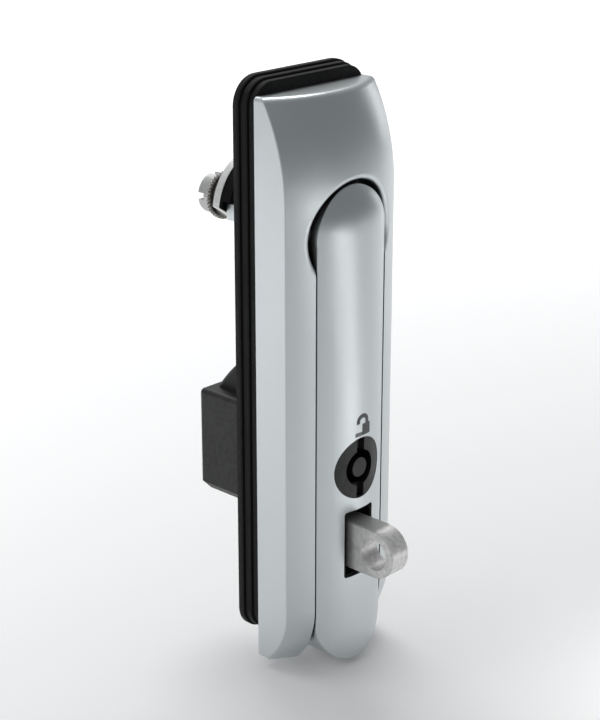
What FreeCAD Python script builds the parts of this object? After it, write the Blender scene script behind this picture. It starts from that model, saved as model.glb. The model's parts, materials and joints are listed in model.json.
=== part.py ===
import FreeCAD, Part
import Sketcher
import math
import os
import re

# Swing handle lock for a cabinet door.
# Millimetres, +Z up, the front faces -Y. The origin is where the spindle's axis crosses
# the outer face of the door, so the dish stands in front of Y 0 and the drive behind it.
# "Depth" means the distance in front of the door's face, which is -Y.

doc = FreeCAD.newDocument("swing_handle_lock")

# Driving sizes
sizes = {
    # dish
    "dishWidth": (44, "across the flat sides of the dish"),
    "dishOverhang": (6, "from the bottom of the gasket to the bottom end of the dish"),
    "dishTop": (36.5, "from the spindle's axis to the top end of the dish"),
    "sideHeight": (11.2, "height of the flat sides above the back of the dish"),
    "crownRise": (6.3, "rise of the convex front from the side edges to the middle"),
    "endFall": (8.3, "how far the front falls back at both ends"),
    "topRun": (28.5, "length of the curved top end"),
    "bottomRun": (17, "length of the curved bottom end"),
    "cornerRadius": (1.2, "corners of the dish seen from the front"),
    "channelGap": (0.5, "gap between the lever and each side of the channel"),
    "recessGap": (1.5, "gap between the head of the lever and the round recess"),
    "lipRadius": (1.4, "rounded lip of the recess"),
    "topRounding": (2.2, "rounded top end of the dish"),
    "edgeRounding": (0.5, "rounded side edges of the dish and of the lever"),
    "floorThickness": (3.4, "floor of the channel above the back of the dish"),
    "recessFloor": (1.4, "floor of the round recess above the back of the dish"),
    "plinthWidth": (34, "raised back of the dish, inside the gasket"),
    "plinthTop": (34.5, "from the spindle's axis to the top of the raised back"),
    "plinthMargin": (5, "raised back below the lower fixing hole"),
    "plinthRadius": (5, "corners of the raised back"),
    "seatGap": (0.6, "from the raised back to the door"),
    "coreWall": (2.6, "walls that the hollows in the back leave standing"),
    "coreRounding": (1.5, "corners of the upper hollow"),
    "neckRadius": (10.5, "neck of the dish behind the door"),
    "neckLength": (8, "length of the neck behind the door"),
    "lugInner": (11.2, "inner radius of the stop lug"),
    "lugOuter": (14.4, "outer radius of the stop lug"),
    "lugSpan": (18.5, "angle that the stop lug takes up"),
    "lugTurn": (2.8, "angle from the level of the axis up to the middle of the stop lug"),
    "lugLength": (11.6, "how far the stop lug reaches behind the door"),
    # gasket
    "gasketDepth": (7, "thickness of the gasket"),
    "gasketWidth": (45.8, "width of the rearmost band"),
    "gasketTop": (41, "from the spindle's axis to the top of the rearmost band"),
    "gasketMargin": (6.5, "gasket below the raised back"),
    "gasketRadius": (8, "corners of the rearmost band"),
    "bandCount": (3, "bands of the gasket"),
    "bandStep": (0.6, "how far each band stands in from the one behind it"),
    "grooveWidth": (0.6, "width of the grooves between the bands"),
    "grooveDepth": (0.8, "depth of the grooves between the bands"),
    "bandRounding": (0.45, "rounded edges of the bands"),
    "gasketClearance": (0.3, "gap between the gasket and the raised back"),
    # lever
    "leverWidth": (27.2, "width of the lever"),
    "headRadius": (13.7, "round head of the lever"),
    "headDrop": (2, "from the spindle's axis down to the centre of the head and recess"),
    "leverOverhang": (2, "from the bottom end of the dish to the lower end of the lever"),
    "leverEdge": (15.05, "front edges of the lever's head above the back of the dish"),
    "leverRise": (4.4, "rise of the lever's convex front"),
    "domeRun": (12.2, "length of the domed top of the lever"),
    "domeFall": (6.4, "how far the dome falls back"),
    "tailRun": (9, "length of the curved lower end of the lever's front"),
    "tailFall": (0.8, "how far the lower end falls back"),
    "leverClearance": (0.5, "from the back of the lever to the floor of the channel"),
    "leverWall": (2.8, "side walls of the lever"),
    "leverSkin": (2.5, "front skin of the lever along its edges"),
    "ribWidth": (1.8, "ribs inside the lever"),
    "ribCount": (2, "cross ribs between the ears and the lock"),
    "ribHeight": (3.6, "height of the cross ribs behind the skin"),
    "earDrop": (9, "from the cross pin to the lower end of the ears"),
    "pivotHeight": (8.6, "cross pin above the floor of the recess"),
    "pinRadius": (2.5, "radius of the cross pin"),
    "pinLength": (26, "length of the cross pin"),
    "runningClearance": (0.05, "radial clearance of every running fit"),
    "turntableRadius": (12.6, "turntable that carries the cross pin"),
    "turntableThickness": (2.2, "thickness of the turntable"),
    "eyeWidth": (12, "width of the eye block on the turntable"),
    "eyeRadius": (4.8, "round nose of the eye block"),
    "eyeGap": (0.3, "gap between the eye block and the ears of the lever"),
    "stubRadius": (4, "pilot behind the turntable"),
    "stubLength": (4.4, "length of the pilot"),
    # padlock eye
    "haspSpacing": (23.3, "from the axis of the lock down to the middle of the padlock eye"),
    "haspThickness": (7.2, "thickness of the padlock eye"),
    "haspHeight": (14.6, "height of the padlock eye"),
    "haspReach": (27.5, "centre of its hole above the back of the dish"),
    "shackleRadius": (4.5, "radius of the hole for the shackle"),
    "haspChamfer": (0.35, "bevelled rims of the hole and the outline"),
    "footHeight": (27, "height of the foot of the padlock eye"),
    "footWidth": (13, "width of the foot"),
    "footThickness": (2.2, "thickness of the foot"),
    "footRounding": (2, "corners of the foot"),
    "haspScrewRadius": (1.5, "shank of the screws of the padlock eye"),
    "haspScrewLength": (7.5, "length of those screws"),
    "sinkDepth": (1.3, "depth of their countersunk heads"),
    "slotWidth": (9.8, "width of the slot in the lever"),
    "slotAbove": (9.8, "slot above the middle of the padlock eye"),
    "slotBelow": (9, "slot below the middle of the padlock eye"),
    "linerWall": (0.9, "wall of the black liner of the slot"),
    "linerDepth": (7.4, "how far the liner reaches into the lever"),
    "linerSink": (0.8, "front of the liner below the crown of the lever"),
    # lock insert
    "lockDrop": (69.7, "from the spindle's axis down to the axis of the lock"),
    "faceRadius": (9, "round face of the plug"),
    "faceProud": (0.1, "how far the face lies below the crown of the lever"),
    "faceThickness": (2.6, "thickness of the face"),
    "faceGap": (0.15, "gap round the face in the lever"),
    "keyPinRadius": (2.9, "centre pin for the double-bit key"),
    "keyGrooveRadius": (5.3, "outer radius of the ring groove"),
    "keyGrooveDepth": (7.5, "depth of the ring groove"),
    "keySlotWidth": (3, "width of the two slots for the bits"),
    "keySlotDepth": (2, "depth of those slots at the rim"),
    "pinSink": (0.4, "how far the centre pin stands below the face"),
    "coreRadius": (6.2, "turning core of the lock"),
    "housingRadius": (8, "outer radius of the sleeve of the lock"),
    "housingFlange": (1.2, "thickness of its flange"),
    "bossWall": (2, "wall of the boss round the sleeve"),
    "bossDepth": (7, "rear face of the boss above the back of the dish"),
    "clipThickness": (1.2, "thickness of the horseshoe clip"),
    "clipRadius": (10, "outer radius of the clip"),
    "clipGroove": (1, "depth of the groove for the clip"),
    "clipMouth": (6.5, "half the mouth of the clip"),
    "clipShoulder": (1.2, "end of the sleeve behind the clip"),
    "sealRadius": (0.75, "section of the seals"),
    "collarRadius": (4.2, "collar of the core that passes the window"),
    "tangWidth": (4.4, "square tang that carries the tongue"),
    "tongueWidth": (7.6, "width of the tongue"),
    "tongueReach": (9.8, "from the axis of the lock to the tip of the tongue"),
    "tongueThickness": (2.3, "thickness of the tongue"),
    "keeperLip": (3, "lip of the floor that the tongue hooks behind"),
    "tongueGap": (0.5, "gap between the tongue and the lip"),
    "windowGap": (0.8, "gap round the tongue where it passes the lip"),
    "windowDrop": (1, "more room below the tongue, which sinks as the lever is lifted"),
    "camScrewRadius": (1.5, "screw of the tongue"),
    "camScrewLength": (7, "length of that screw"),
    "camHeadRadius": (2.8, "head of that screw"),
    "camHeadHeight": (2.2, "height of that head"),
    "washerRadius": (3.8, "washer of the tongue"),
    "washerThickness": (0.8, "thickness of that washer"),
    # rear box
    "boxWidth": (22, "width of the rear box"),
    "boxAbove": (12.9, "rear box above the axis of the lock"),
    "boxBelow": (19.8, "rear box below the axis of the lock"),
    "boxDepth": (28, "how far the rear box reaches behind the door"),
    "boxWall": (2, "walls of the rear box"),
    "boxRounding": (1.5, "rounded edges of the rear box"),
    "boxBevel": (3, "bevelled lower edges of the rear box"),
    "gussetWidth": (13, "width of the gusset on top of the box"),
    "gussetHeight": (19, "height of the gusset at the door"),
    "gussetReach": (25, "how far the gusset reaches behind the door"),
    "gussetBulge": (50, "radius of the rounded back of the gusset"),
    "columnRadius": (3.3, "screw columns in the rear box"),
    "columnSpacing": (12.4, "between the two lower columns"),
    "upperScrewRise": (6.2, "upper screw of the box above the top of the box"),
    "boxScrewRadius": (1.6, "shank of the screws of the rear box"),
    "boxScrewInset": (4.6, "from the ends of the box to its screws"),
    "boxHeadRadius": (2.9, "heads of those screws"),
    "boxHeadHeight": (2, "height of those heads"),
    "boxScrewGrip": (5, "how far those screws reach into the dish"),
    "boxWellDepth": (6, "seats of the heads behind the door"),
    # drive
    "journalRadius": (6, "journal of the spindle"),
    "flangeRadius": (8.6, "flange of the spindle"),
    "flangeThickness": (2, "thickness of that flange"),
    "bushWall": (1.4, "wall of the bush in the neck"),
    "seatRadius": (4.9, "two-flat seat behind the journal"),
    "seatFlat": (3.9, "from the axis to each flat"),
    "fitGap": (0.03, "gap of the parts that sit on the two-flat seat"),
    "thrustThickness": (1, "thickness of the thrust washer"),
    "thrustRadius": (9.6, "outer radius of the thrust washer"),
    "endPlay": (0.1, "axial play"),
    "sectorRadius": (16, "outer radius of the black sector"),
    "swing": (90, "angle through which the spindle turns"),
    "stopSlack": (1.5, "angle that the stop leaves free at both ends"),
    "sectorLip": (1, "thin rear step of the sector"),
    "discRadius": (16.2, "outer radius of the stop disc"),
    "discThickness": (2.5, "thickness of the stop disc"),
    "discFlat": (7.5, "from the axis to the slanted flat of the disc"),
    "flatLean": (34, "slope of that flat"),
    "hubRadius": (5.9, "hub of the serrated ring, which clamps the stop disc"),
    "hubLength": (10.8, "length of that hub"),
    "serratedRadius": (7, "tips of the teeth of the serrated ring"),
    "serratedThickness": (1.4, "thickness of the toothed flange"),
    "toothCount": (40, "teeth of the serrated ring"),
    "toothDepth": (0.55, "depth of those teeth"),
    "nutRadius": (5.9, "outer radius of the slotted nut"),
    "nutThickness": (4.5, "thickness of the slotted nut"),
    "nutBore": (3.9, "bore of the slotted nut"),
    "nutSlotWidth": (2, "width of the slots in the nut"),
    "nutSlotDepth": (2.2, "depth of the slots in the nut"),
    "nutSlots": (4, "slots in the nut"),
    "tapRadius": (2.5, "tapped hole in the end of the spindle"),
    "tapDepth": (12, "depth of that hole"),
    # fixing to the door
    "fixingRadius": (2.1, "tapped fixing holes in the back of the dish"),
    "fixingDepth": (7.5, "depth of the fixing holes"),
    "fixingTop": (27, "from the spindle's axis up to the upper fixing hole"),
    "fixingSpacing": (18, "from the padlock eye down to the lower fixing hole"),
    # buffer
    "bufferSpacing": (21, "from the padlock eye down to the rubber buffer"),
    "bufferRadius": (2.6, "radius of the buffer"),
    "bufferStem": (1.6, "radius of its stem"),
    "bufferHeight": (2.4, "height of the buffer above the floor"),
    "softGap": (0.3, "gap over the buffer"),
}

sheet = doc.addObject("Spreadsheet::Sheet", "Sizes")
for row, (alias, (size, note)) in enumerate(sizes.items(), start=1):
    sheet.set(f"A{row}", alias)
    sheet.set(f"B{row}", str(size))
    sheet.set(f"C{row}", note)
    sheet.setAlias(f"B{row}", alias)
doc.recompute()

# Places worked out from the driving sizes. All depths are in front of the door.
places = {
    "haspDrop": "lockDrop + haspSpacing",
    "boxTop": "lockDrop - boxAbove",
    "boxBottom": "lockDrop + boxBelow",
    "bufferDrop": "haspDrop + bufferSpacing",
    "fixingBottom": "haspDrop + fixingSpacing",
    "plinthBottom": "fixingBottom + plinthMargin",
    "gasketBottom": "plinthBottom + gasketMargin",
    "dishBottom": "gasketBottom + dishOverhang",
    "leverReach": "dishBottom + leverOverhang",
    "backDepth": "gasketDepth",
    "sideEdge": "backDepth + sideHeight",
    "floorDepth": "backDepth + floorThickness",
    "recessDepth": "backDepth + recessFloor",
    "leverHalf": "leverWidth / 2",
    "channelHalf": "leverHalf + channelGap",
    "recessRadius": "headRadius + recessGap",
    "headTop": "headRadius - headDrop",
    "shoulderFall": "headDrop + sqrt(headRadius ^ 2 - leverHalf ^ 2)",
    "leverBack": "floorDepth + leverClearance",
    "leverSeam": "backDepth + leverEdge",
    "leverCrown": "leverSeam + leverRise",
    "crownArc": "(headRadius ^ 2 + leverRise ^ 2) / (2 * leverRise)",
    "pivotDepth": "recessDepth + pivotHeight",
    "turntableFace": "recessDepth + turntableThickness",
    "skinDepth": "leverSeam - leverSkin",
    "hollowHalf": "leverHalf - leverWall",
    "bufferSide": "hollowHalf - bufferRadius - softGap",
    "earInner": "eyeWidth / 2 + eyeGap",
    "haspCentre": "backDepth + haspReach",
    "footFace": "floorDepth + footThickness",
    "linerBack": "leverCrown - linerDepth",
    "faceFront": "leverCrown - faceProud",
    "faceBack": "faceFront - faceThickness",
    "bossBack": "backDepth + bossDepth",
    "sealDepth": "faceFront - keyGrooveDepth - 3 * sealRadius",
    "housingBack": "bossBack - clipThickness - clipShoulder",
    "lipBack": "floorDepth - keeperLip",
    "tongueFront": "lipBack - tongueGap",
    "tongueBack": "tongueFront - tongueThickness",
    "windowHalf": "tongueWidth / 2 + windowGap",
    "flangeFront": "recessDepth - endPlay",
    "flangeBack": "flangeFront - flangeThickness",
    "bushOuter": "journalRadius + runningClearance + bushWall",
    "lugHigh": "180 - lugTurn - lugSpan / 2",
    "lugLow": "180 - lugTurn + lugSpan / 2",
    "sectorFront": "neckLength + thrustThickness + endPlay",
    "lipFront": "lugLength + 2 * endPlay",
    "sectorBack": "lipFront + sectorLip",
    "discBack": "sectorBack + discThickness",
    "serratedBack": "discBack + hubLength + serratedThickness",
    "nutBack": "serratedBack + nutThickness",
    "toothHalf": "serratedRadius * sin(180 / toothCount) * 1.1",
}

words = re.compile(r"[A-Za-z]+")


def formula(text):
    """Writes a text of size and place names as an expression of the sheet."""
    def spelled(match):
        word = match.group()
        if word in sizes:
            return "Sizes." + word
        if word in places:
            return "(" + formula(places[word]) + ")"
        return word
    return words.sub(spelled, str(text))


def value(text):
    return float(sheet.evalExpression(formula(text)))


parts = []


def newBody(label, drop="0"):
    """A body whose own origin lies on the spindle's axis, or this far below it."""
    body = doc.addObject("PartDesign::Body", label)
    body.Label = label
    body.setExpression(".Placement.Base.z", formula(f"-({drop})"))
    parts.append(body)
    return body


def newSketch(body, role, offset="0"):
    sketch = body.newObject("Sketcher::SketchObject", body.Name + "_sketch")
    plane = [item for item in body.Origin.OriginFeatures if item.Role == role][0]
    sketch.AttachmentSupport = [(plane, "")]
    sketch.MapMode = "FlatFace"
    sketch.setExpression(".AttachmentOffset.Base.z", formula(offset))
    return sketch


def front(body, depth="0"):
    """A sketch in a plane parallel to the door, at this depth in front of it."""
    return newSketch(body, "XZ_Plane", depth)


def side(body, lift="0"):
    """A sketch in the middle plane, seen from the side, with its origin lifted this far."""
    sketch = newSketch(body, "YZ_Plane")
    sketch.setExpression(".AttachmentOffset.Base.y", formula(lift))
    return sketch


def bind(sketch, constraint, text):
    index = sketch.addConstraint(constraint)
    sketch.setExpression(f"Constraints[{index}]", formula(text))


def pin(sketch, geometry, point, x, y):
    """Holds a point at x and y, measured from the origin of the sketch."""
    for axis, kind, text in ((-2, "DistanceX", x), (-1, "DistanceY", y)):
        if str(text) == "0":
            sketch.addConstraint(Sketcher.Constraint("PointOnObject", geometry, point, axis))
        else:
            datum = Sketcher.Constraint(kind, -1, 1, geometry, point, value(text))
            bind(sketch, datum, text)


def circle(sketch, x, y, radius):
    centre = FreeCAD.Vector(value(x), value(y), 0)
    up = FreeCAD.Vector(0, 0, 1)
    index = sketch.addGeometry(Part.Circle(centre, up, value(radius)))
    pin(sketch, index, 3, x, y)
    bind(sketch, Sketcher.Constraint("Radius", index, value(radius)), radius)
    return index


def arcThrough(start, end, radius, turn):
    """A counter-clockwise arc. With turn -1 it runs from end to start."""
    if turn < 0:
        start, end = end, start
    middle = (start + end) * 0.5
    half = (end - start).Length / 2
    along = (end - start).normalize()
    left = FreeCAD.Vector(-along.y, along.x, 0)
    centre = middle + left * math.sqrt(max(radius ** 2 - half ** 2, 0))
    first = math.atan2(start.y - centre.y, start.x - centre.x)
    last = math.atan2(end.y - centre.y, end.x - centre.x)
    return Part.ArcOfCircle(Part.Circle(centre, FreeCAD.Vector(0, 0, 1), radius), first, last)


def outline(sketch, corners, closed=True):
    """Draws lines and arcs from corner to corner.

    A corner is (x, y), or (x, y, radius, turn) when an arc of that radius leaves it:
    turn is 1 for a counter-clockwise arc and -1 for a clockwise one."""
    spots = [FreeCAD.Vector(value(corner[0]), value(corner[1]), 0) for corner in corners]
    count = len(corners)
    edges = count if closed else count - 1
    ends = []
    for index in range(edges):
        corner = corners[index]
        start, end = spots[index], spots[(index + 1) % count]
        if len(corner) == 2:
            geometry = sketch.addGeometry(Part.LineSegment(start, end))
            ends.append((geometry, 1, 2))
        else:
            turn = corner[3]
            arc = arcThrough(start, end, value(corner[2]), turn)
            geometry = sketch.addGeometry(arc)
            ends.append((geometry, 1, 2) if turn > 0 else (geometry, 2, 1))
    for index in range(edges):
        geometry, start, end = ends[index]
        pin(sketch, geometry, start, corners[index][0], corners[index][1])
        if index + 1 < edges or closed:
            following = ends[(index + 1) % edges]
            joint = Sketcher.Constraint("Coincident", geometry, end, following[0], following[1])
            sketch.addConstraint(joint)
        else:
            pin(sketch, geometry, end, corners[-1][0], corners[-1][1])
        if len(corners[index]) == 4:
            radius = corners[index][2]
            bind(sketch, Sketcher.Constraint("Radius", geometry, value(radius)), radius)


def box(sketch, left, bottom, right, top):
    outline(sketch, [(left, bottom), (right, bottom), (right, top), (left, top)])


def roundedBox(sketch, left, bottom, right, top, radius):
    outline(sketch, [
        (f"{left} + {radius}", bottom),
        (f"{right} - ({radius})", bottom, radius, 1),
        (right, f"{bottom} + {radius}"),
        (right, f"{top} - ({radius})", radius, 1),
        (f"{right} - ({radius})", top),
        (f"{left} + {radius}", top, radius, 1),
        (left, f"{top} - ({radius})"),
        (left, f"{bottom} + {radius}", radius, 1),
    ])


def changed(body, before, more):
    """Stops the build when a feature added or removed nothing."""
    doc.recompute()
    after = body.Shape.Volume
    grew = after > before + 0.001
    shrank = after < before - 0.001
    if (more and not grew) or (not more and not shrank):
        raise ValueError(f"{body.Label}: {body.Tip.Name} changed nothing, {before} to {after}")


def pad(body, sketch, length, backwards=False):
    before = body.Shape.Volume if body.Shape.Solids else 0
    feature = body.newObject("PartDesign::Pad", body.Name + "_pad")
    feature.Profile = sketch
    feature.Reversed = backwards
    feature.setExpression("Length", formula(length))
    changed(body, before, True)
    return feature


def padAcross(body, sketch, width):
    before = body.Shape.Volume if body.Shape.Solids else 0
    feature = body.newObject("PartDesign::Pad", body.Name + "_pad")
    feature.Profile = sketch
    feature.SideType = "Symmetric"
    feature.setExpression("Length", formula(width))
    changed(body, before, True)
    return feature


def pocket(body, sketch, length="", forwards=False, across=False):
    """Cuts to a length or, without one, right through. It cuts to the rear of a sketch
    that is parallel to the door, or forwards when asked."""
    before = body.Shape.Volume
    feature = body.newObject("PartDesign::Pocket", body.Name + "_pocket")
    feature.Profile = sketch
    feature.Reversed = forwards
    if across:
        feature.SideType = "Symmetric"
    if length:
        feature.setExpression("Length", formula(length))
    else:
        feature.Type = "ThroughAll"
    changed(body, before, False)
    return feature


def revolve(body, sketch, axis="H_Axis", cut=False):
    before = body.Shape.Volume if body.Shape.Solids else 0
    kind = "PartDesign::Groove" if cut else "PartDesign::Revolution"
    feature = body.newObject(kind, body.Name + "_turned")
    feature.Profile = sketch
    feature.ReferenceAxis = (sketch, [axis])
    feature.Angle = 360
    changed(body, before, not cut)
    return feature


def polar(body, feature, count, more=False):
    """Repeats a feature round the axis that runs from front to back."""
    before = body.Shape.Volume
    pattern = body.newObject("PartDesign::PolarPattern", body.Name + "_polar")
    pattern.Originals = [feature]
    axis = [item for item in body.Origin.OriginFeatures if item.Role == "Y_Axis"][0]
    pattern.Axis = (axis, [""])
    pattern.Angle = 360
    pattern.setExpression("Occurrences", formula(count))
    body.Tip = pattern
    changed(body, before, more)
    return pattern


def edgesWhere(body, test):
    """Names of the edges whose middle and length pass a test."""
    names = []
    for index, edge in enumerate(body.Tip.Shape.Edges, start=1):
        middle = edge.valueAt((edge.FirstParameter + edge.LastParameter) / 2)
        if test(edge, middle):
            names.append(f"Edge{index}")
    return names


def dress(body, kind, names, radius):
    base = body.Tip
    feature = body.newObject("PartDesign::" + kind, body.Name + "_" + kind.lower())
    feature.Base = (base, names)
    size = "Radius" if kind == "Fillet" else "Size"
    feature.setExpression(size, formula(radius))
    doc.recompute()
    return feature


def curvedBar(body, half, edge, rise, bottom, lowRun, lowFall, top, highRun, highFall, back):
    """A bar with a convex front that falls back towards both ends.

    half, edge and rise give the section: half its width, the depth of its side edges and
    the rise of its front between them. Each end is the section turned about an axis that
    lies across the bar behind it, so that its side edges fall back as far as asked."""
    arc = f"(({half}) ^ 2 + ({rise}) ^ 2) / (2 * ({rise}))"

    def section(height):
        sketch = newSketch(body, "XY_Plane", height)
        outline(sketch, [
            (f"-({half})", f"-({back})"),
            (f"-({half})", f"-({edge})", arc, 1),
            (half, f"-({edge})"),
            (half, f"-({back})"),
        ])
        return sketch

    low, high = f"{bottom} + {lowRun}", f"{top} - ({highRun})"
    pad(body, section(low), f"{high} - ({low})")
    for height, run, fall, upwards in ((high, highRun, highFall, True), (low, lowRun, lowFall, False)):
        sketch = section(height)
        behind = f"(({run}) ^ 2 + ({fall}) ^ 2) / (2 * ({fall})) - ({edge})"
        axis = Part.LineSegment(FreeCAD.Vector(-1, value(behind), 0), FreeCAD.Vector(1, value(behind), 0))
        line = sketch.addGeometry(axis, True)
        pin(sketch, line, 1, "-(" + half + ")", behind)
        pin(sketch, line, 2, half, behind)
        turned = body.newObject("PartDesign::Revolution", body.Name + "_end")
        turned.Profile = sketch
        turned.ReferenceAxis = (sketch, ["Axis0"])
        turned.Angle = 90
        turned.Reversed = upwards
        doc.recompute()
    # The back is cut off flat.
    behind = front(body, back)
    reach = f"2 * ({top} - ({bottom}))"
    box(behind, f"-{reach}", f"-{reach}", reach, reach)
    pocket(body, behind)


def keyhole(sketch, radius, half, bottom):
    """A round head with a straight channel that hangs from it."""
    shoulder = f"-(headDrop) - sqrt(({radius}) ^ 2 - ({half}) ^ 2)"
    outline(sketch, [
        (f"-({half})", bottom),
        (half, bottom),
        (half, shoulder, radius, 1),
        (f"-({half})", shoulder),
    ])


# The dish
def makeDish():
    body = newBody("dish")
    bottom = "-(dishBottom)"
    curvedBar(body, "dishWidth / 2", "sideEdge", "crownRise", bottom, "bottomRun", "endFall",
              "dishTop", "topRun", "endFall", "backDepth")
    # The ends are cut off straight, the rims rounded and the corners cut round.
    reach = "2 * dishWidth"
    ends = front(body, "backDepth")
    box(ends, "-(dishWidth)", bottom, "dishWidth", "dishTop")
    box(ends, f"-{reach}", f"{bottom} - {reach}", reach, f"dishTop + {reach}")
    pocket(body, ends, forwards=True)
    topEdge = edgesWhere(body, lambda edge, middle: abs(middle.z - value("dishTop")) < 0.01
                         and -middle.y > value("sideEdge - endFall") + 0.01)
    dress(body, "Fillet", topEdge, "topRounding")
    sides = edgesWhere(body, lambda edge, middle: abs(abs(middle.x) - value("dishWidth / 2")) < 0.01
                       and edge.Length > value("lockDrop") and -middle.y > value("backDepth") + 1)
    dress(body, "Fillet", sides, "edgeRounding")
    rest = front(body, "backDepth")
    roundedBox(rest, "-(dishWidth / 2)", bottom, "dishWidth / 2", "dishTop", "cornerRadius")
    box(rest, f"-{reach}", f"{bottom} - {reach}", reach, f"dishTop + {reach}")
    pocket(body, rest, forwards=True)
    raised = front(body, "seatGap")
    roundedBox(raised, "-(plinthWidth / 2)", "-(plinthBottom)", "plinthWidth / 2", "plinthTop",
               "plinthRadius")
    pad(body, raised, "backDepth - seatGap + floorThickness / 2")
    neck = front(body, "-(neckLength)")
    circle(neck, "0", "0", "neckRadius")
    pad(body, neck, "neckLength + seatGap")
    # The stop lug stands beside the neck, on the left.
    lug = front(body, "-(lugLength)")
    outline(lug, [
        ("lugOuter * cos(lugHigh)", "lugOuter * sin(lugHigh)", "lugOuter", 1),
        ("lugOuter * cos(lugLow)", "lugOuter * sin(lugLow)"),
        ("lugInner * cos(lugLow)", "lugInner * sin(lugLow)", "lugInner", -1),
        ("lugInner * cos(lugHigh)", "lugInner * sin(lugHigh)"),
    ])
    pad(body, lug, "lugLength + seatGap")
    # Channel and recess, open at the bottom end.
    channel = front(body, "floorDepth")
    keyhole(channel, "recessRadius", "channelHalf", f"{bottom} - channelGap")
    pocket(body, channel, forwards=True)
    recess = front(body, "recessDepth")
    circle(recess, "0", "-(headDrop)", "recessRadius")
    pocket(body, recess, forwards=True)
    lip = edgesWhere(body, lambda edge, middle: -middle.y > value("sideEdge")
                     and math.hypot(middle.x, middle.z + value("headDrop")) < value("recessRadius") + 0.01
                     and middle.z > 0)
    dress(body, "Fillet", lip, "lipRadius")
    # Bore of the neck, with room for the flange of the spindle.
    counterbore = front(body, "recessDepth")
    circle(counterbore, "0", "0", "flangeRadius + endPlay")
    pocket(body, counterbore, "flangeThickness + 2 * endPlay")
    bore = front(body, "recessDepth")
    circle(bore, "0", "0", "bushOuter")
    pocket(body, bore)
    # The window that the tongue passes, and the wider pocket behind its lip.
    window = front(body, "floorDepth")
    roundedBox(window, "-(windowHalf)", "-(lockDrop) - windowHalf - windowDrop", "windowHalf",
               "-(lockDrop) + tongueReach + 2 * windowGap", "2 * windowGap")
    pocket(body, window)
    keeper = front(body, "lipBack")
    roundedBox(keeper, "-(windowHalf + windowGap)", "-(lockDrop) - windowHalf - windowDrop",
               "tongueReach + windowGap", "-(lockDrop) + tongueReach + 2 * windowGap",
               "2 * windowGap")
    pocket(body, keeper)
    # Cored hollows in the back, between the neck, the box and the fixing bosses.
    coreHalf = "plinthWidth / 2 - coreWall"
    coreTop = "-(recessRadius) - headDrop - coreWall / 2"
    coreBottom = "-(boxTop) + gussetHeight + coreWall"
    upper = front(body, "seatGap")
    roundedBox(upper, f"-({coreHalf})", coreBottom, coreHalf, coreTop, "coreRounding")
    pocket(body, upper, "backDepth - seatGap + floorThickness - coreWall", forwards=True)
    for sign in ("", "-"):
        shoulder = front(body, "backDepth - seatGap")
        inner = f"{sign}(channelHalf + coreWall)"
        outer = f"{sign}(dishWidth / 2 - coreWall)"
        left, right = (inner, outer) if not sign else (outer, inner)
        box(shoulder, left, "coreWall - plinthBottom", right, "-(recessRadius) - headDrop")
        pocket(body, shoulder, "sideHeight - coreWall + seatGap", forwards=True)
    # Tapped holes for the door fixing, the padlock eye and the rear box.
    for height in ("fixingTop", "-(fixingBottom)"):
        fixing = front(body, "seatGap")
        circle(fixing, "0", height, "fixingRadius")
        pocket(body, fixing, "fixingDepth", forwards=True)
    screws = front(body, "floorDepth")
    for height in haspScrewHeights:
        circle(screws, "0", height, "haspScrewRadius")
    pocket(body, screws, "haspScrewLength - footThickness")
    screws = front(body, "seatGap")
    for across, height in boxScrews:
        circle(screws, across, height, "boxScrewRadius")
    pocket(body, screws, "boxScrewGrip", forwards=True)
    stems = front(body, "floorDepth")
    for place in ("-(bufferSide)", "bufferSide"):
        circle(stems, place, "-(bufferDrop)", "bufferStem")
    pocket(body, stems, "floorThickness")


haspScrewOffset = "(footHeight - haspHeight) / 4 + haspHeight / 2"
haspScrewHeights = [f"-(haspDrop) + {haspScrewOffset}", f"-(haspDrop) - ({haspScrewOffset})"]
boxScrews = [
    ("0", "-(boxTop) + upperScrewRise"),
    ("-(columnSpacing / 2)", "-(boxBottom) + boxScrewInset"),
    ("columnSpacing / 2", "-(boxBottom) + boxScrewInset"),
]


def makeGasket():
    body = newBody("gasket")
    count = round(value("bandCount"))
    band = "(gasketDepth - (bandCount - 1) * grooveWidth) / bandCount"
    for index in range(count):
        start = f"{index} * ({band} + grooveWidth)"
        inset = f"{index} * bandStep"
        for depth, thickness, inwards in (
            (start, band, inset),
            (f"{start} + {band}", "grooveWidth", f"{inset} + grooveDepth"),
        ):
            if thickness == "grooveWidth" and index == count - 1:
                continue
            sheetRing = front(body, depth)
            roundedBox(sheetRing, f"{inwards} - gasketWidth / 2", f"{inwards} - gasketBottom",
                       f"gasketWidth / 2 - ({inwards})", f"gasketTop - ({inwards})",
                       f"gasketRadius - ({inwards})")
            pad(body, sheetRing, thickness)
    opening = front(body, "0")
    roundedBox(opening, "-(plinthWidth / 2 + gasketClearance)", "-(plinthBottom + gasketClearance)",
               "plinthWidth / 2 + gasketClearance", "plinthTop + gasketClearance",
               "plinthRadius + gasketClearance")
    pocket(body, opening, forwards=True)
    # The front rims of the bands are rounded.
    rims = []
    for index in range(count):
        rimDepth = value(f"{index} * ({band} + grooveWidth) + {band}")
        reach = value(f"gasketWidth / 2 - {index} * bandStep") - 0.01
        high = value(f"gasketTop - {index} * bandStep") - 0.01
        low = value(f"{index} * bandStep - gasketBottom") + 0.01

        def onRim(edge, middle):
            bounds = edge.BoundBox
            outermost = max(bounds.XMax, -bounds.XMin) > reach or bounds.ZMax > high or bounds.ZMin < low
            return bounds.YLength < 0.001 and abs(-middle.y - rimDepth) < 0.001 and outermost

        rims += edgesWhere(body, onRim)
    dress(body, "Fillet", rims, "bandRounding")


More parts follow.
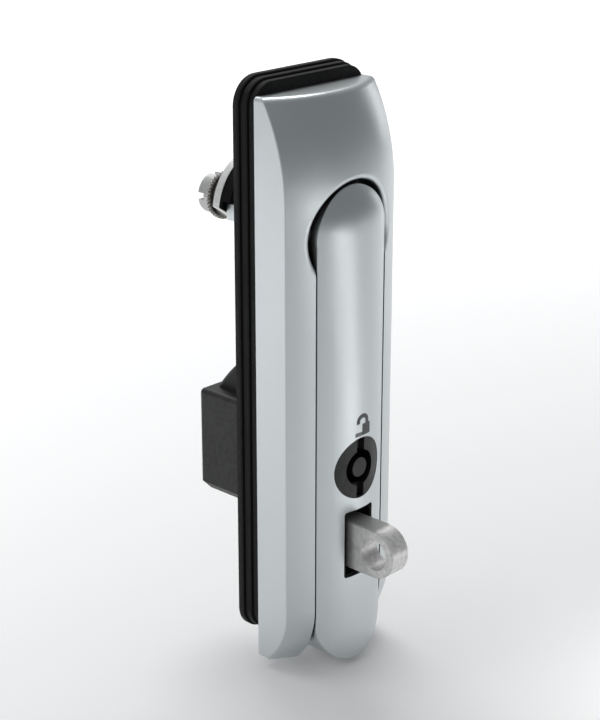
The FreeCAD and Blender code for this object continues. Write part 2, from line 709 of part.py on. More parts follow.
# The lever
def makeLever():
    body = newBody("lever")
    curvedBar(body, "headRadius", "leverSeam", "leverRise", "-(leverReach)", "tailRun", "tailFall",
              "headTop", "domeRun", "domeFall", "leverBack")
    # Everything outside the outline of the lever is cut away.
    rest = front(body, "leverBack")
    reach = "2 * leverWidth"
    outline(rest, [
        ("-(leverHalf)", "leverHalf - leverReach", "leverHalf", 1),
        ("0", "-(leverReach)", "leverHalf", 1),
        ("leverHalf", "leverHalf - leverReach"),
        ("leverHalf", "-(shoulderFall)", "headRadius", 1),
        ("0", "headTop", "headRadius", 1),
        ("-(leverHalf)", "-(shoulderFall)"),
    ])
    box(rest, f"-{reach}", f"-(leverReach + {reach})", reach, reach)
    pocket(body, rest, forwards=True)
    # The rim of the head is cut off round the cross pin and then on a slant, which lies
    # parallel to the turntable at full lift.
    slant = side(body)
    swept = "(pivotDepth - turntableFace - 2 * endPlay)"
    stop = f"{swept} * sqrt(2) - pivotDepth"
    outline(slant, [
        (f"{swept} - pivotDepth", "0", swept, 1),
        (f"{swept} * sqrt(0.5) - pivotDepth", f"{swept} * sqrt(0.5)"),
        (f"{stop} - 2 * headRadius", "2 * headRadius"),
        (f"{stop} + headRadius", "2 * headRadius"),
        (f"{stop} + headRadius", "0"),
    ])
    pocket(body, slant, "3 * headRadius", across=True)
    # One long hollow behind the front skin.
    hollow = front(body, "leverBack")
    roundedBox(hollow, "-(hollowHalf)", "leverHalf - leverReach - leverWall", "hollowHalf",
               "-(earDrop)", "leverWall")
    pocket(body, hollow, "skinDepth - leverBack", forwards=True)
    # Room for the eye block between the ears, open to the rear and upwards.
    room = side(body)
    clear = "(eyeRadius + 2 * eyeGap)"
    reach = "2 * headRadius"
    outline(room, [
        ("1 - leverBack", f"-{clear}"),
        ("1 - leverBack", f"2 * {reach}"),
        (f"{reach} - pivotDepth - {clear} * sqrt(0.5)", f"{reach} + {clear} * sqrt(0.5)"),
        (f"-(pivotDepth) - {clear} * sqrt(0.5)", f"{clear} * sqrt(0.5)", clear, 1),
        ("-(pivotDepth)", f"-{clear}"),
    ])
    pocket(body, room, "2 * earInner", across=True)
    below = front(body, "leverBack")
    box(below, "-(earInner)", "-(earDrop) - leverWall", "earInner", "0")
    pocket(body, below, "pivotDepth - leverBack", forwards=True)
    cross = side(body)
    circle(cross, "-(pivotDepth)", "0", "pinRadius + runningClearance")
    pocket(body, cross, "2 * leverWidth", across=True)
    # Cross ribs, the boss of the lock and the frame of the slot stand behind the skin.
    root = "skinDepth + leverSkin / 4"
    ribs = front(body, "skinDepth - ribHeight")
    bossTop = "-(lockDrop) + housingRadius + bossWall"
    count = round(value("ribCount"))
    for index in range(count):
        middle = f"-(earDrop) + ({bossTop} + earDrop) * {index + 1} / (ribCount + 1)"
        box(ribs, "-(hollowHalf) - leverWall / 2", f"{middle} - ribWidth / 2",
            "hollowHalf + leverWall / 2", f"{middle} + ribWidth / 2")
    pad(body, ribs, f"{root} - (skinDepth - ribHeight)")
    boss = front(body, "bossBack")
    circle(boss, "0", "-(lockDrop)", "housingRadius + bossWall")
    pad(body, boss, f"{root} - (bossBack)")
    frame = front(body, "linerBack")
    wide = "slotWidth / 2 + linerWall + ribWidth"
    box(frame, f"-({wide})", "-(haspDrop) - slotBelow - linerWall - ribWidth", wide,
        "-(haspDrop) + slotAbove + linerWall + ribWidth")
    pad(body, frame, f"{root} - (linerBack)")
    rest = front(body, "floorDepth + bufferHeight + softGap")
    box(rest, "-(hollowHalf) - leverWall / 2", "-(bufferDrop) - ribWidth",
        "hollowHalf + leverWall / 2", "-(bufferDrop) + ribWidth")
    pad(body, rest, f"{root} - (floorDepth + bufferHeight + softGap)")
    # Seats of the lock and of the liner.
    bore = front(body, "bossBack")
    circle(bore, "0", "-(lockDrop)", "housingRadius + fitGap")
    pocket(body, bore, forwards=True)
    seat = front(body, "faceBack - housingFlange")
    circle(seat, "0", "-(lockDrop)", "faceRadius + faceGap")
    pocket(body, seat, forwards=True)
    slot = front(body, "linerBack")
    roundedBox(slot, "-(slotWidth / 2 + linerWall)", "-(haspDrop) - slotBelow - linerWall",
               "slotWidth / 2 + linerWall", "-(haspDrop) + slotAbove + linerWall", "linerWall")
    pocket(body, slot, forwards=True)
    rims = edgesWhere(body, lambda edge, middle: abs(abs(middle.x) - value("leverHalf")) < 0.001
                      and -middle.y > value("leverSeam") and edge.Length > value("leverReach") / 2)
    dress(body, "Fillet", rims, "edgeRounding")


def makeSlotLiner():
    body = newBody("slot_liner", "haspDrop")
    frame = front(body, "linerBack")
    wide, tall, low = "slotWidth / 2", "slotAbove", "slotBelow"
    outer = "linerWall - fitGap"
    roundedBox(frame, f"-({wide} + {outer})", f"-({low} + {outer})", f"{wide} + {outer}",
               f"{tall} + {outer}", outer)
    box(frame, f"-({wide})", f"-({low})", wide, tall)
    pad(body, frame, "leverCrown - linerSink - linerBack")


# The lock insert
def makeLockHousing():
    body = newBody("lock_housing", "lockDrop")
    profile = side(body)
    bore = "coreRadius + runningClearance"
    neck = "housingRadius - clipGroove"
    outline(profile, [
        ("-(housingBack)", bore),
        ("-(housingBack)", "housingRadius"),
        ("fitGap + clipThickness - bossBack", "housingRadius"),
        ("fitGap + clipThickness - bossBack", neck),
        ("-(bossBack)", neck),
        ("-(bossBack)", "housingRadius"),
        ("housingFlange - faceBack", "housingRadius"),
        ("housingFlange - faceBack", "faceRadius"),
        ("fitGap - faceBack", "faceRadius"),
        ("fitGap - faceBack", bore),
    ])
    revolve(body, profile)


def makeLockClip():
    body = newBody("lock_clip", "lockDrop")
    shape = front(body, "bossBack - clipThickness")
    inner, outer = "(housingRadius - clipGroove + fitGap)", "clipRadius"
    mouth = "clipMouth"
    innerLow = f"-sqrt({inner} ^ 2 - ({mouth}) ^ 2)"
    outerLow = f"-sqrt({outer} ^ 2 - ({mouth}) ^ 2)"
    outline(shape, [
        (mouth, outerLow, outer, 1),
        ("0", outer, outer, 1),
        (f"-({mouth})", outerLow),
        (f"-({mouth})", innerLow, inner, -1),
        ("0", inner, inner, -1),
        (mouth, innerLow),
    ])
    pad(body, shape, "clipThickness")


def makeLockPlug():
    body = newBody("lock_plug", "lockDrop")
    profile = side(body)
    coreBack = "housingBack - endPlay"
    sealFloor = "coreRadius - 2 * (sealRadius + endPlay)"
    outline(profile, [
        ("-(tongueFront)", "0"),
        ("-(tongueFront)", "collarRadius"),
        (f"-({coreBack})", "collarRadius"),
        (f"-({coreBack})", "coreRadius"),
        ("sealRadius + fitGap - sealDepth", "coreRadius"),
        ("sealRadius + fitGap - sealDepth", sealFloor),
        ("-(sealRadius) - fitGap - sealDepth", sealFloor),
        ("-(sealRadius) - fitGap - sealDepth", "coreRadius"),
        ("-(faceBack)", "coreRadius"),
        ("-(faceBack)", "faceRadius"),
        ("-(faceFront)", "faceRadius"),
        ("-(faceFront)", "0"),
    ])
    revolve(body, profile)
    # The face follows the convex front of the lever.
    convex = newSketch(body, "XY_Plane")
    wide = "(faceRadius + 1)"
    rim = f"faceFront - crownArc + sqrt(crownArc ^ 2 - {wide} ^ 2)"
    outline(convex, [
        (f"-{wide}", f"-({rim})", "crownArc", 1),
        (wide, f"-({rim})"),
        (wide, "-(faceFront + 1)"),
        (f"-{wide}", "-(faceFront + 1)"),
    ])
    pocket(body, convex, "4 * faceRadius", across=True)
    groove = front(body, "faceFront")
    circle(groove, "0", "0", "keyGrooveRadius")
    circle(groove, "0", "0", "keyPinRadius")
    pocket(body, groove, "keyGrooveDepth")
    bits = front(body, "faceFront")
    for sign in ("", "-"):
        near = f"{sign}(keyGrooveRadius - keySlotWidth / 3)"
        far = f"{sign}(faceRadius + 1)"
        low, high = (near, far) if not sign else (far, near)
        box(bits, "-(keySlotWidth / 2)", low, "keySlotWidth / 2", high)
    pocket(body, bits, "keySlotDepth")
    sunk = front(body, "faceFront")
    circle(sunk, "0", "0", "keyPinRadius")
    pocket(body, sunk, "pinSink")
    tang = front(body, "tongueFront")
    half = "tangWidth / 2"
    box(tang, f"-({half})", f"-({half})", half, half)
    pad(body, tang, "tongueThickness - endPlay * 2", backwards=True)
    tapped = front(body, "tongueBack")
    circle(tapped, "0", "0", "camScrewRadius")
    pocket(body, tapped, "camScrewLength + endPlay", forwards=True)


def ring(label, drop, depth, centre, section):
    """A rubber ring with an eight-sided section."""
    body = newBody(label, drop)
    sketch = side(body)
    corners = []
    for index in range(8):
        angle = index * 45 + 22.5
        corners.append((f"{section} * cos({angle}) - ({depth})", f"{section} * sin({angle}) + ({centre})"))
    outline(sketch, corners)
    revolve(body, sketch)


def makePlugSeal():
    ring("plug_seal", "lockDrop", "sealDepth", "coreRadius - sealRadius - endPlay", "sealRadius")


def makeLockCam():
    body = newBody("lock_cam", "lockDrop")
    tongue = front(body, "tongueBack")
    half = "tongueWidth / 2"
    shoulder = f"sqrt(tongueReach ^ 2 - ({half}) ^ 2)"
    outline(tongue, [
        (f"-({half})", "0", half, 1),
        ("0", f"-({half})", half, 1),
        (half, "0"),
        (half, shoulder, "tongueReach", 1),
        (f"-({half})", shoulder),
    ])
    hole = "tangWidth / 2 + fitGap"
    box(tongue, f"-({hole})", f"-({hole})", hole, hole)
    pad(body, tongue, "tongueThickness")


def makeCamWasher():
    body = newBody("cam_washer", "lockDrop")
    disc = front(body, "tongueBack - washerThickness")
    circle(disc, "0", "0", "washerRadius")
    circle(disc, "0", "0", "camScrewRadius + fitGap")
    pad(body, disc, "washerThickness")


def hexagon(sketch, across):
    corners = []
    for index in range(6):
        angle = f"{index * 60 + 30}"
        corners.append((f"{across} / sqrt(3) * cos({angle})", f"{across} / sqrt(3) * sin({angle})"))
    outline(sketch, corners)


def makeCamScrew():
    body = newBody("cam_screw", "lockDrop")
    seat = "tongueBack - washerThickness"
    head = front(body, seat)
    circle(head, "0", "0", "camHeadRadius")
    pad(body, head, "camHeadHeight", backwards=True)
    shank = front(body, seat)
    circle(shank, "0", "0", "camScrewRadius")
    pad(body, shank, "camScrewLength")
    socket = front(body, f"{seat} - camHeadHeight")
    hexagon(socket, "camScrewRadius * 1.5")
    pocket(body, socket, "camHeadHeight * 0.6", forwards=True)


# The padlock eye
def makeHasp():
    body = newBody("hasp", "haspDrop")
    half = "haspHeight / 2"
    plate = side(body)
    outline(plate, [
        ("-(floorDepth)", f"-({half})"),
        ("-(floorDepth)", half),
        ("-(haspCentre)", half, half, 1),
        (f"-(haspCentre) - {half}", "0", half, 1),
        ("-(haspCentre)", f"-({half})"),
    ])
    padAcross(body, plate, "haspThickness")
    eye = side(body)
    circle(eye, "-(haspCentre)", "0", "shackleRadius")
    pocket(body, eye, "2 * haspThickness", across=True)
    rims = edgesWhere(body, lambda edge, middle: abs(abs(middle.x) - value("haspThickness / 2")) < 0.001
                      and -middle.y > value("leverBack + 2"))
    dress(body, "Chamfer", rims, "haspChamfer")
    foot = front(body, "floorDepth")
    roundedBox(foot, "-(footWidth / 2)", "-(footHeight / 2)", "footWidth / 2", "footHeight / 2",
               "footRounding")
    pad(body, foot, "footThickness")
    holes = front(body, "floorDepth")
    for sign in ("", "-"):
        circle(holes, "0", f"{sign}({haspScrewOffset})", "haspScrewRadius + fitGap")
    pocket(body, holes, "footThickness", forwards=True)
    sinks = edgesWhere(body, lambda edge, middle: abs(-middle.y - value("footFace")) < 0.001
                       and abs(edge.Length - 2 * math.pi * value("haspScrewRadius + fitGap")) < 0.01)
    dress(body, "Chamfer", sinks, "sinkDepth")


def makeHaspScrews():
    body = newBody("hasp_screws", "haspDrop")
    body.AllowCompound = True
    for sign in ("", "-"):
        profile = side(body, f"{sign}({haspScrewOffset})")
        outline(profile, [
            ("-(footFace)", "haspScrewRadius * 0.7"),
            ("-(footFace)", "haspScrewRadius + sinkDepth"),
            ("sinkDepth - footFace", "haspScrewRadius"),
            ("haspScrewLength - footFace", "haspScrewRadius"),
            ("haspScrewLength - footFace", "0"),
            ("sinkDepth - footFace", "0"),
            ("sinkDepth - footFace", "haspScrewRadius * 0.7"),
        ])
        revolve(body, profile)


# The rear box
def makeRearBox():
    body = newBody("rear_box")
    half = "boxWidth / 2"
    shell = front(body, "seatGap")
    box(shell, f"-({half})", "-(boxBottom)", half, "-(boxTop)")
    pad(body, shell, "boxDepth + seatGap", backwards=True)
    bevels = edgesWhere(body, lambda edge, middle: edge.BoundBox.YLength > value("boxDepth")
                        and abs(middle.z + value("boxBottom")) < 0.01)
    dress(body, "Chamfer", bevels, "boxBevel")
    rounded = edgesWhere(body, lambda edge, middle: abs(middle.y - value("boxDepth")) < 0.01
                         or (abs(middle.z + value("boxTop")) < 0.01 and abs(middle.x) > value(half) - 0.01))
    dress(body, "Fillet", rounded, "boxRounding")
    hump = side(body)
    outline(hump, [
        ("-(seatGap)", "-(boxTop) - boxWall"),
        ("gussetReach", "-(boxTop) - boxWall"),
        ("gussetReach", "-(boxTop)", "gussetBulge", 1),
        ("-(seatGap)", "-(boxTop) + gussetHeight"),
    ])
    padAcross(body, hump, "gussetWidth")
    crest = edgesWhere(body, lambda edge, middle: abs(abs(middle.x) - value("gussetWidth / 2")) < 0.01
                       and edge.Curve.TypeId == "Part::GeomCircle" and middle.z > -value("boxTop"))
    dress(body, "Fillet", crest, "boxRounding")
    hollow = front(body, "seatGap")
    inner = "(boxWidth / 2 - boxWall)"
    roundedBox(hollow, f"-{inner}", "-(boxBottom) + boxBevel * 0.9", inner, "-(boxTop) - boxWall",
               "boxRounding")
    pocket(body, hollow, "boxDepth + seatGap - boxWall")
    columns = front(body, "seatGap")
    for across, height in boxScrews[1:]:
        circle(columns, across, height, "columnRadius")
    pad(body, columns, "boxDepth + seatGap - boxWall / 2", backwards=True)
    holes = front(body, "seatGap")
    for across, height in boxScrews:
        circle(holes, across, height, "boxScrewRadius + fitGap")
    pocket(body, holes)
    wells = front(body, "-(boxWellDepth)")
    for across, height in boxScrews:
        circle(wells, across, height, "boxHeadRadius + 3 * fitGap")
    pocket(body, wells)


def makeRearBoxScrews():
    body = newBody("rear_box_screws")
    body.AllowCompound = True
    shank = front(body, "-(boxWellDepth)")
    heads = front(body, "-(boxWellDepth)")
    sockets = front(body, "-(boxWellDepth) - boxHeadHeight")
    for across, height in boxScrews:
        circle(shank, across, height, "boxScrewRadius")
        circle(heads, across, height, "boxHeadRadius")
        circle(sockets, across, height, "boxScrewRadius * 0.8")
    pad(body, shank, "boxWellDepth + seatGap + boxScrewGrip")
    pad(body, heads, "boxHeadHeight", backwards=True)
    pocket(body, sockets, "boxHeadHeight * 0.6", forwards=True)


# The drive
def makeCarrier():
    body = newBody("carrier")
    disc = front(body, "recessDepth")
    circle(disc, "0", "0", "turntableRadius")
    pad(body, disc, "turntableThickness")
    block = side(body)
    outline(block, [
        ("-(recessDepth) - turntableThickness / 2", "-(eyeRadius)"),
        ("-(recessDepth) - turntableThickness / 2", "eyeRadius"),
        ("-(pivotDepth)", "eyeRadius", "eyeRadius", 1),
        ("-(pivotDepth) - eyeRadius", "0", "eyeRadius", 1),
        ("-(pivotDepth)", "-(eyeRadius)"),
    ])
    padAcross(body, block, "eyeWidth")
    stub = front(body, "recessDepth")
    circle(stub, "0", "0", "stubRadius")
    pad(body, stub, "stubLength", backwards=True)
    eye = side(body)
    circle(eye, "-(pivotDepth)", "0", "pinRadius + fitGap / 2")
    pocket(body, eye, "2 * eyeWidth", across=True)


def makePivotPin():
    body = newBody("pivot_pin")
    section = side(body)
    circle(section, "-(pivotDepth)", "0", "pinRadius")
    padAcross(body, section, "pinLength")
    ends = edgesWhere(body, lambda edge, middle: abs(middle.x) > value("pinLength / 2") - 0.01)
    dress(body, "Chamfer", ends, "pinRadius / 8")


def makeNeckBush():
    body = newBody("neck_bush")
    section = front(body, "-(neckLength)")
    circle(section, "0", "0", "bushOuter - fitGap")
    circle(section, "0", "0", "journalRadius + runningClearance")
    pad(body, section, "neckLength + flangeBack - endPlay")


def makeThrustWasher():
    body = newBody("thrust_washer")
    section = front(body, "-(neckLength + thrustThickness)")
    circle(section, "0", "0", "thrustRadius")
    circle(section, "0", "0", "journalRadius + runningClearance")
    pad(body, section, "thrustThickness")


def makeSpindle():
    body = newBody("spindle")
    sealFloor = "journalRadius - 2 * (sealRadius + endPlay)"
    profile = side(body)
    outline(profile, [
        ("-(flangeFront)", "0"),
        ("-(flangeFront)", "flangeRadius"),
        ("-(flangeBack)", "flangeRadius"),
        ("-(flangeBack)", "journalRadius"),
        ("-(sealRadius) - fitGap", "journalRadius"),
        ("-(sealRadius) - fitGap", sealFloor),
        ("sealRadius + fitGap", sealFloor),
        ("sealRadius + fitGap", "journalRadius"),
        ("sectorFront", "journalRadius"),
        ("sectorFront", "seatRadius"),
        ("serratedBack", "seatRadius"),
        ("serratedBack", "nutBore - fitGap"),
        ("nutBack - endPlay", "nutBore - fitGap"),
        ("nutBack - endPlay", "0"),
    ])
    revolve(body, profile)
    flats = front(body, "-(serratedBack)")
    for sign in ("", "-"):
        inner, outer = f"{sign}(seatFlat)", f"{sign}(2 * seatRadius)"
        left, right = (inner, outer) if not sign else (outer, inner)
        box(flats, left, "-(2 * seatRadius)", right, "2 * seatRadius")
    pocket(body, flats, "serratedBack - sectorFront", forwards=True)
    socket = front(body, "flangeFront")
    circle(socket, "0", "0", "stubRadius + runningClearance")
    pocket(body, socket, "stubLength + endPlay")
    tapped = front(body, "-(nutBack)")
    circle(tapped, "0", "0", "tapRadius")
    pocket(body, tapped, "tapDepth", forwards=True)


def makeNeckSeal():
    ring("neck_seal", "0", "0", "journalRadius - sealRadius - endPlay", "sealRadius")


def twoFlatHole(sketch):
    """The hole that fits the two-flat seat of the spindle."""
    radius = "(seatRadius + fitGap)"
    flat = "(seatFlat + fitGap)"
    corner = f"sqrt({radius} ^ 2 - {flat} ^ 2)"
    outline(sketch, [
        (flat, f"-{corner}"),
        (flat, corner, radius, 1),
        (f"-{flat}", corner),
        (f"-{flat}", f"-{corner}", radius, 1),
    ])


def slantedFlat(sketch, radius):
    """Covers what lies beyond the slanted flat, below and to the left of the spindle."""
    spots = []
    for along, out in (("-2", "0"), ("2", "0"), ("2", "2"), ("-2", "2")):
        away = f"(discFlat + {out} * {radius})"
        shift = f"({along} * {radius})"
        spots.append((f"-({away}) * sin(flatLean) + {shift} * cos(flatLean)",
                      f"-({away}) * cos(flatLean) - {shift} * sin(flatLean)"))
    outline(sketch, spots)


def makeStopSector():
    body = newBody("stop_sector")
    disc = front(body, "-(sectorBack)")
    circle(disc, "0", "0", "sectorRadius")
    twoFlatHole(disc)
    pad(body, disc, "sectorBack - sectorFront")
    gap = front(body, "-(sectorFront)")
    inner, outer = "(lugInner - 4 * endPlay)", "(sectorRadius + 1)"
    first = "(lugHigh - stopSlack)"
    last = "(lugLow + stopSlack + swing)"
    outline(gap, [
        (f"{outer} * cos({first})", f"{outer} * sin({first})", outer, 1),
        (f"{outer} * cos({last})", f"{outer} * sin({last})"),
        (f"{inner} * cos({last})", f"{inner} * sin({last})", inner, -1),
        (f"{inner} * cos({first})", f"{inner} * sin({first})"),
    ])
    pocket(body, gap, "lipFront - sectorFront")
    flat = front(body, "-(lipFront)")
    slantedFlat(flat, "sectorRadius")
    pocket(body, flat, "sectorLip")


def makeStopDisc():
    body = newBody("stop_disc")
    disc = front(body, "-(discBack)")
    circle(disc, "0", "0", "discRadius")
    twoFlatHole(disc)
    pad(body, disc, "discThickness")
    flat = front(body, "-(sectorBack)")
    slantedFlat(flat, "discRadius")
    pocket(body, flat)


def makeSerratedRing():
    body = newBody("serrated_ring")
    blank = front(body, "-(serratedBack)")
    circle(blank, "0", "0", "serratedRadius")
    twoFlatHole(blank)
    pad(body, blank, "serratedThickness")
    hub = front(body, "-(discBack)")
    circle(hub, "0", "0", "hubRadius")
    twoFlatHole(hub)
    pad(body, hub, "hubLength", backwards=True)
    notch = front(body, "-(discBack) - hubLength")
    half = "(toothHalf)"
    outline(notch, [
        ("0", "serratedRadius - toothDepth"),
        (half, "serratedRadius + toothDepth / 4"),
        (f"-{half}", "serratedRadius + toothDepth / 4"),
    ])
    cut = pocket(body, notch)
    polar(body, cut, "toothCount")


def makeSlottedNut():
    body = newBody("slotted_nut")
    blank = front(body, "-(nutBack)")
    circle(blank, "0", "0", "nutRadius")
    circle(blank, "0", "0", "nutBore")
    pad(body, blank, "nutThickness")
    slot = front(body, "-(nutBack)")
    box(slot, "-(nutSlotWidth / 2)", "nutBore / 2", "nutSlotWidth / 2", "nutRadius + 1")
    cut = pocket(body, slot, "nutSlotDepth", forwards=True)
    polar(body, cut, "nutSlots")


def makeRestBuffer():
    body = newBody("rest_buffer", "bufferDrop")
    body.AllowCompound = True
    pads = front(body, "floorDepth")
    stems = front(body, "floorDepth")
    for place in ("-(bufferSide)", "bufferSide"):
        circle(pads, place, "0", "bufferRadius")
        circle(stems, place, "0", "bufferStem - fitGap")
    pad(body, pads, "bufferHeight")
    pad(body, stems, "floorThickness - fitGap", backwards=True)
    tops = edgesWhere(body, lambda edge, middle: abs(-middle.y - value("floorDepth + bufferHeight")) < 0.01)
    dress(body, "Chamfer", tops, "bufferHeight / 4")


makers = [
    makeDish, makeGasket, makeLever, makeSlotLiner, makeLockHousing, makeLockClip, makeLockPlug,
    makePlugSeal, makeLockCam, makeCamWasher, makeCamScrew, makeHasp, makeHaspScrews, makeRearBox,
    makeRearBoxScrews, makeCarrier, makePivotPin, makeNeckBush, makeThrustWasher, makeSpindle,
    makeNeckSeal, makeStopSector, makeStopDisc, makeSerratedRing, makeSlottedNut, makeRestBuffer,
]
for make in makers:
    make()

doc.recompute()
for item in doc.Objects:
    if "Invalid" in item.State or "Error" in item.State:
        raise ValueError(f"{item.Name} failed: {item.State}")
for body in parts:
    if body.Shape.isNull() or not body.Shape.isValid():
        raise ValueError(f"{body.Label} has no sound shape")

os.makedirs("parts", exist_ok=True)
for body in parts:
    body.Shape.exportStep(f"parts/{body.Label}.step")
    print(body.Label, round(body.Shape.Volume, 1))
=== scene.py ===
import json
import math

import bmesh
import bpy
from mathutils import Matrix, Vector

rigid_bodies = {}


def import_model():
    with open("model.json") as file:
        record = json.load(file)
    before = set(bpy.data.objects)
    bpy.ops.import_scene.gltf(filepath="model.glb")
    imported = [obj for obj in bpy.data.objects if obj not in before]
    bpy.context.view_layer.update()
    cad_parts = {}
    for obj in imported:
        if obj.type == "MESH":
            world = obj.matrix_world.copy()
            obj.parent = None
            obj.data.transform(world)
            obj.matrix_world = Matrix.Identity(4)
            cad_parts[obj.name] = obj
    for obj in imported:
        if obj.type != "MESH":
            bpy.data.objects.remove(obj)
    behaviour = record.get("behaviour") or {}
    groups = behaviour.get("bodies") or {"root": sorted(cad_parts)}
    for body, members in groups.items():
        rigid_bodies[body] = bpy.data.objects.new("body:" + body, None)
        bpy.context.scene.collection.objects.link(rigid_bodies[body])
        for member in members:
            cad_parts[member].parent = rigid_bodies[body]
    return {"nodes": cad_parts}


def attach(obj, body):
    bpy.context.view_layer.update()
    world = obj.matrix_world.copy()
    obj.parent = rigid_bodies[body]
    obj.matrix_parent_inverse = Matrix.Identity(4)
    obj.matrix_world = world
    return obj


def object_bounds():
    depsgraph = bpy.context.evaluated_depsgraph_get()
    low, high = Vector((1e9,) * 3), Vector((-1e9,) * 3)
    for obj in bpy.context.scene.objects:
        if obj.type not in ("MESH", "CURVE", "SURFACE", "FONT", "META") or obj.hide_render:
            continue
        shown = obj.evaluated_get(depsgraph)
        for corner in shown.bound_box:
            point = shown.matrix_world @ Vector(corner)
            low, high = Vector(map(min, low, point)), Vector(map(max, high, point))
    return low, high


# Swing handle lock: satin metal dish and lever, black gasket, padlock eye.
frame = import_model()
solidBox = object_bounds()
print("frame loaded,", len(frame["nodes"]), "nodes")


def clearStart():
    # the start file may hold a lamp and a camera of its own
    for thing in list(bpy.data.objects):
        if thing.type in ("LIGHT", "CAMERA"):
            bpy.data.objects.remove(thing)


clearStart()


# Small helpers for node trees

def addNode(tree, kind, **settings):
    node = tree.nodes.new(kind)
    for name, value in settings.items():
        setattr(node, name, value)
    return node


def link(tree, source, target):
    tree.links.new(source, target)


def newGroup(name, inputs, outputs):
    group = bpy.data.node_groups.new(name, "ShaderNodeTree")
    for label, kind, default in inputs:
        socket = group.interface.new_socket(label, in_out="INPUT", socket_type=kind)
        socket.default_value = default
    for label, kind in outputs:
        group.interface.new_socket(label, in_out="OUTPUT", socket_type=kind)
    return group, addNode(group, "NodeGroupInput"), addNode(group, "NodeGroupOutput")


def feed(tree, value, target):
    # a number is set on the socket, another socket is linked to it
    if isinstance(value, (int, float)):
        target.default_value = value
    else:
        link(tree, value, target)


def mathNode(tree, operation, first, second, clamp=False):
    node = addNode(tree, "ShaderNodeMath", operation=operation, use_clamp=clamp)
    feed(tree, first, node.inputs[0])
    feed(tree, second, node.inputs[1])
    return node.outputs[0]


def rangeNode(tree, value, low, high, newLow, newHigh):
    node = addNode(tree, "ShaderNodeMapRange", interpolation_type="SMOOTHSTEP")
    link(tree, value, node.inputs["Value"])
    feed(tree, low, node.inputs["From Min"])
    feed(tree, high, node.inputs["From Max"])
    feed(tree, newLow, node.inputs["To Min"])
    feed(tree, newHigh, node.inputs["To Max"])
    return node.outputs["Result"]


def noiseNode(tree, vector, scale, detail, roughness=0.5):
    node = addNode(tree, "ShaderNodeTexNoise")
    node.inputs["Detail"].default_value = detail
    node.inputs["Roughness"].default_value = roughness
    link(tree, vector, node.inputs["Vector"])
    link(tree, scale, node.inputs["Scale"])
    return node.outputs["Fac"]


# Shared effects

grainPlan = {"detail": 3.0, "roughness": 0.6, "cloudDetail": 4.0}


def makeCastGrain(plan):
    # the fine blasted grain of plated die castings and moulded plastic
    group, ins, outs = newGroup(
        "castGrain",
        [("Grain Size", "NodeSocketFloat", 9000.0), ("Cloud Size", "NodeSocketFloat", 60.0)],
        [("Height", "NodeSocketFloat"), ("Clouds", "NodeSocketFloat")])
    place = addNode(group, "ShaderNodeTexCoord").outputs["Object"]
    fine = noiseNode(group, place, ins.outputs["Grain Size"], plan["detail"], plan["roughness"])
    soft = noiseNode(group, place, ins.outputs["Cloud Size"], plan["cloudDetail"])
    link(group, fine, outs.inputs["Height"])
    link(group, soft, outs.inputs["Clouds"])
    return group


rimWearSheenAndGapShadePlan = {
    "breakupDetail": 5.0, "breakup": (0.3, 0.65, 0.35, 1.0),  # noise from, to, rim wear and painted highlight from, to
    "gapSamples": 8, "gap": (0.25, 0.88, 1.0, 0.0),  # openness from, to, painted gap shade from, to
}


def makeRimWearSheenAndGapShade(plan):
    # a mask of the rims that bend outwards, for partly rubbed wear and partly painted highlight,
    # and an occlusion mask of the narrow gaps for painted shade
    group, ins, outs = newGroup(
        "rimWearSheenAndGapShade",
        [("Start", "NodeSocketFloat", 0.52), ("Full", "NodeSocketFloat", 0.6),
         ("Breakup Size", "NodeSocketFloat", 700.0), ("Gap Shade Reach", "NodeSocketFloat", 0.0026)],
        [("Edges", "NodeSocketFloat"), ("Gap Shade", "NodeSocketFloat")])
    bend = addNode(group, "ShaderNodeNewGeometry").outputs["Pointiness"]
    place = addNode(group, "ShaderNodeTexCoord").outputs["Object"]
    breakup = noiseNode(group, place, ins.outputs["Breakup Size"], plan["breakupDetail"])
    rim = rangeNode(group, bend, ins.outputs["Start"], ins.outputs["Full"], 0.0, 1.0)
    uneven = rangeNode(group, breakup, *plan["breakup"])
    link(group, mathNode(group, "MULTIPLY", rim, uneven), outs.inputs["Edges"])
    # ambient occlusion finds the narrow gaps, where shade is painted into the colour
    openness = addNode(group, "ShaderNodeAmbientOcclusion", samples=plan["gapSamples"])
    link(group, ins.outputs["Gap Shade Reach"], openness.inputs["Distance"])
    link(group, rangeNode(group, openness.outputs["AO"], *plan["gap"]), outs.inputs["Gap Shade"])
    return group


linesPlan = {
    "detail": 6.0, "roughness": 0.7,
    "streaks": (0.35, 0.68, 0.0, 1.0),  # noise from, to, mask from, to
}


def makeBrushedLines(plan):
    # long fine scratches along one axis
    group, ins, outs = newGroup(
        "brushedLines",
        [("Stretch", "NodeSocketVector", (1.0, 1.0, 1.0)), ("Line Size", "NodeSocketFloat", 900.0)],
        [("Height", "NodeSocketFloat"), ("Streaks", "NodeSocketFloat")])
    squeeze = addNode(group, "ShaderNodeVectorMath", operation="MULTIPLY")
    link(group, addNode(group, "ShaderNodeTexCoord").outputs["Object"], squeeze.inputs[0])
    link(group, ins.outputs["Stretch"], squeeze.inputs[1])
    fine = noiseNode(group, squeeze.outputs["Vector"], ins.outputs["Line Size"],
                     plan["detail"], plan["roughness"])
    link(group, fine, outs.inputs["Height"])
    link(group, rangeNode(group, fine, *plan["streaks"]), outs.inputs["Streaks"])
    return group


castGrain = makeCastGrain(grainPlan)
rimWearSheenAndGapShade = makeRimWearSheenAndGapShade(rimWearSheenAndGapShadePlan)
brushedLines = makeBrushedLines(linesPlan)
print("shared effects ready")


# Materials

noiseMiddle = (0.3, 0.7)  # most values of a noise lie between these
speckle = 0.02  # the grain's share in the roughness of castings


def useGroup(tree, group, **values):
    node = addNode(tree, "ShaderNodeGroup")
    node.node_tree = group
    for label, value in values.items():
        node.inputs[label.replace("_", " ")].default_value = value
    return node


